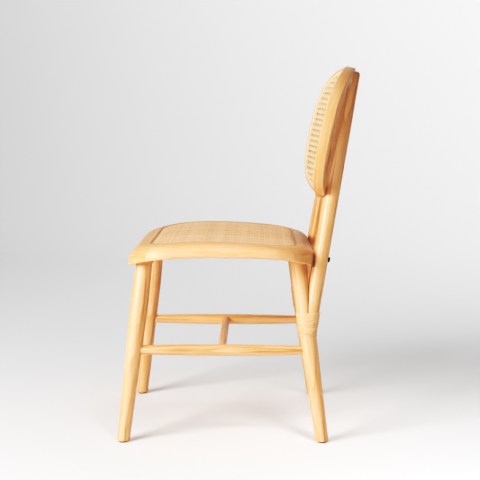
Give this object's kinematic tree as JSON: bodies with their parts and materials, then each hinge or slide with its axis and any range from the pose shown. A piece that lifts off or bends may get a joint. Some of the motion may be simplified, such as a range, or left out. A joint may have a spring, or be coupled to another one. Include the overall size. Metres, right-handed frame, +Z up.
{
  "type": "rattan dining chair",
  "caption": "Dining chair of turned wood with a woven cane seat in a bent rim, raked legs with stretchers, and an open cane back hoop on two posts bound to the rear legs",
  "frame": {"origin": "middle of the underside of the chair's bounding box, on the floor", "axes": "+X to the sitter's left, +Y to the rear, +Z up; the sitter faces -Y"},
  "size_m": [0.486, 0.5424, 0.8383],
  "materials": {
    "honey_wood": "clear satin varnish",
    "pale_wood": "clear satin varnish",
    "cane": "natural woven cane",
    "reed": "natural reed",
    "rattan_peel": "natural rattan peel, smooth",
    "dark_steel": "blackened",
    "zinc": "zinc plated",
    "dark_glide": "matte"
  },
  "bodies": {
    "root": {"front_leg_left": "honey_wood", "front_leg_right": "honey_wood", "rear_leg_left": "honey_wood", "rear_leg_right": "honey_wood", "foot_glide_front_left": "dark_glide", "foot_glide_front_right": "dark_glide", "foot_glide_rear_left": "dark_glide", "foot_glide_rear_right": "dark_glide", "side_stretcher_left": "honey_wood", "side_stretcher_right": "honey_wood", "cross_stretcher": "honey_wood", "seat_rim_front_left": "pale_wood", "seat_rim_front_right": "pale_wood", "seat_rim_side_left": "pale_wood", "seat_rim_side_right": "pale_wood", "seat_rim_rear": "pale_wood", "seat_rim_peg_front_middle": "honey_wood", "seat_rim_peg_front_left": "honey_wood", "seat_rim_peg_front_right": "honey_wood", "seat_rim_peg_rear_left": "honey_wood", "seat_rim_peg_rear_right": "honey_wood", "seat_cane": "cane", "seat_reed": "reed", "back_post_left": "honey_wood", "back_post_right": "honey_wood", "back_hoop": "pale_wood", "back_cane": "cane", "back_reed": "reed", "binding_left": "rattan_peel", "binding_right": "rattan_peel", "post_bolt_left": "dark_steel", "post_bolt_right": "dark_steel", "post_insert_left": "zinc", "post_insert_right": "zinc", "hoop_screw_upper_left": "zinc", "hoop_screw_upper_right": "zinc", "hoop_screw_lower_left": "zinc", "hoop_screw_lower_right": "zinc"}
  },
  "joints": []
}
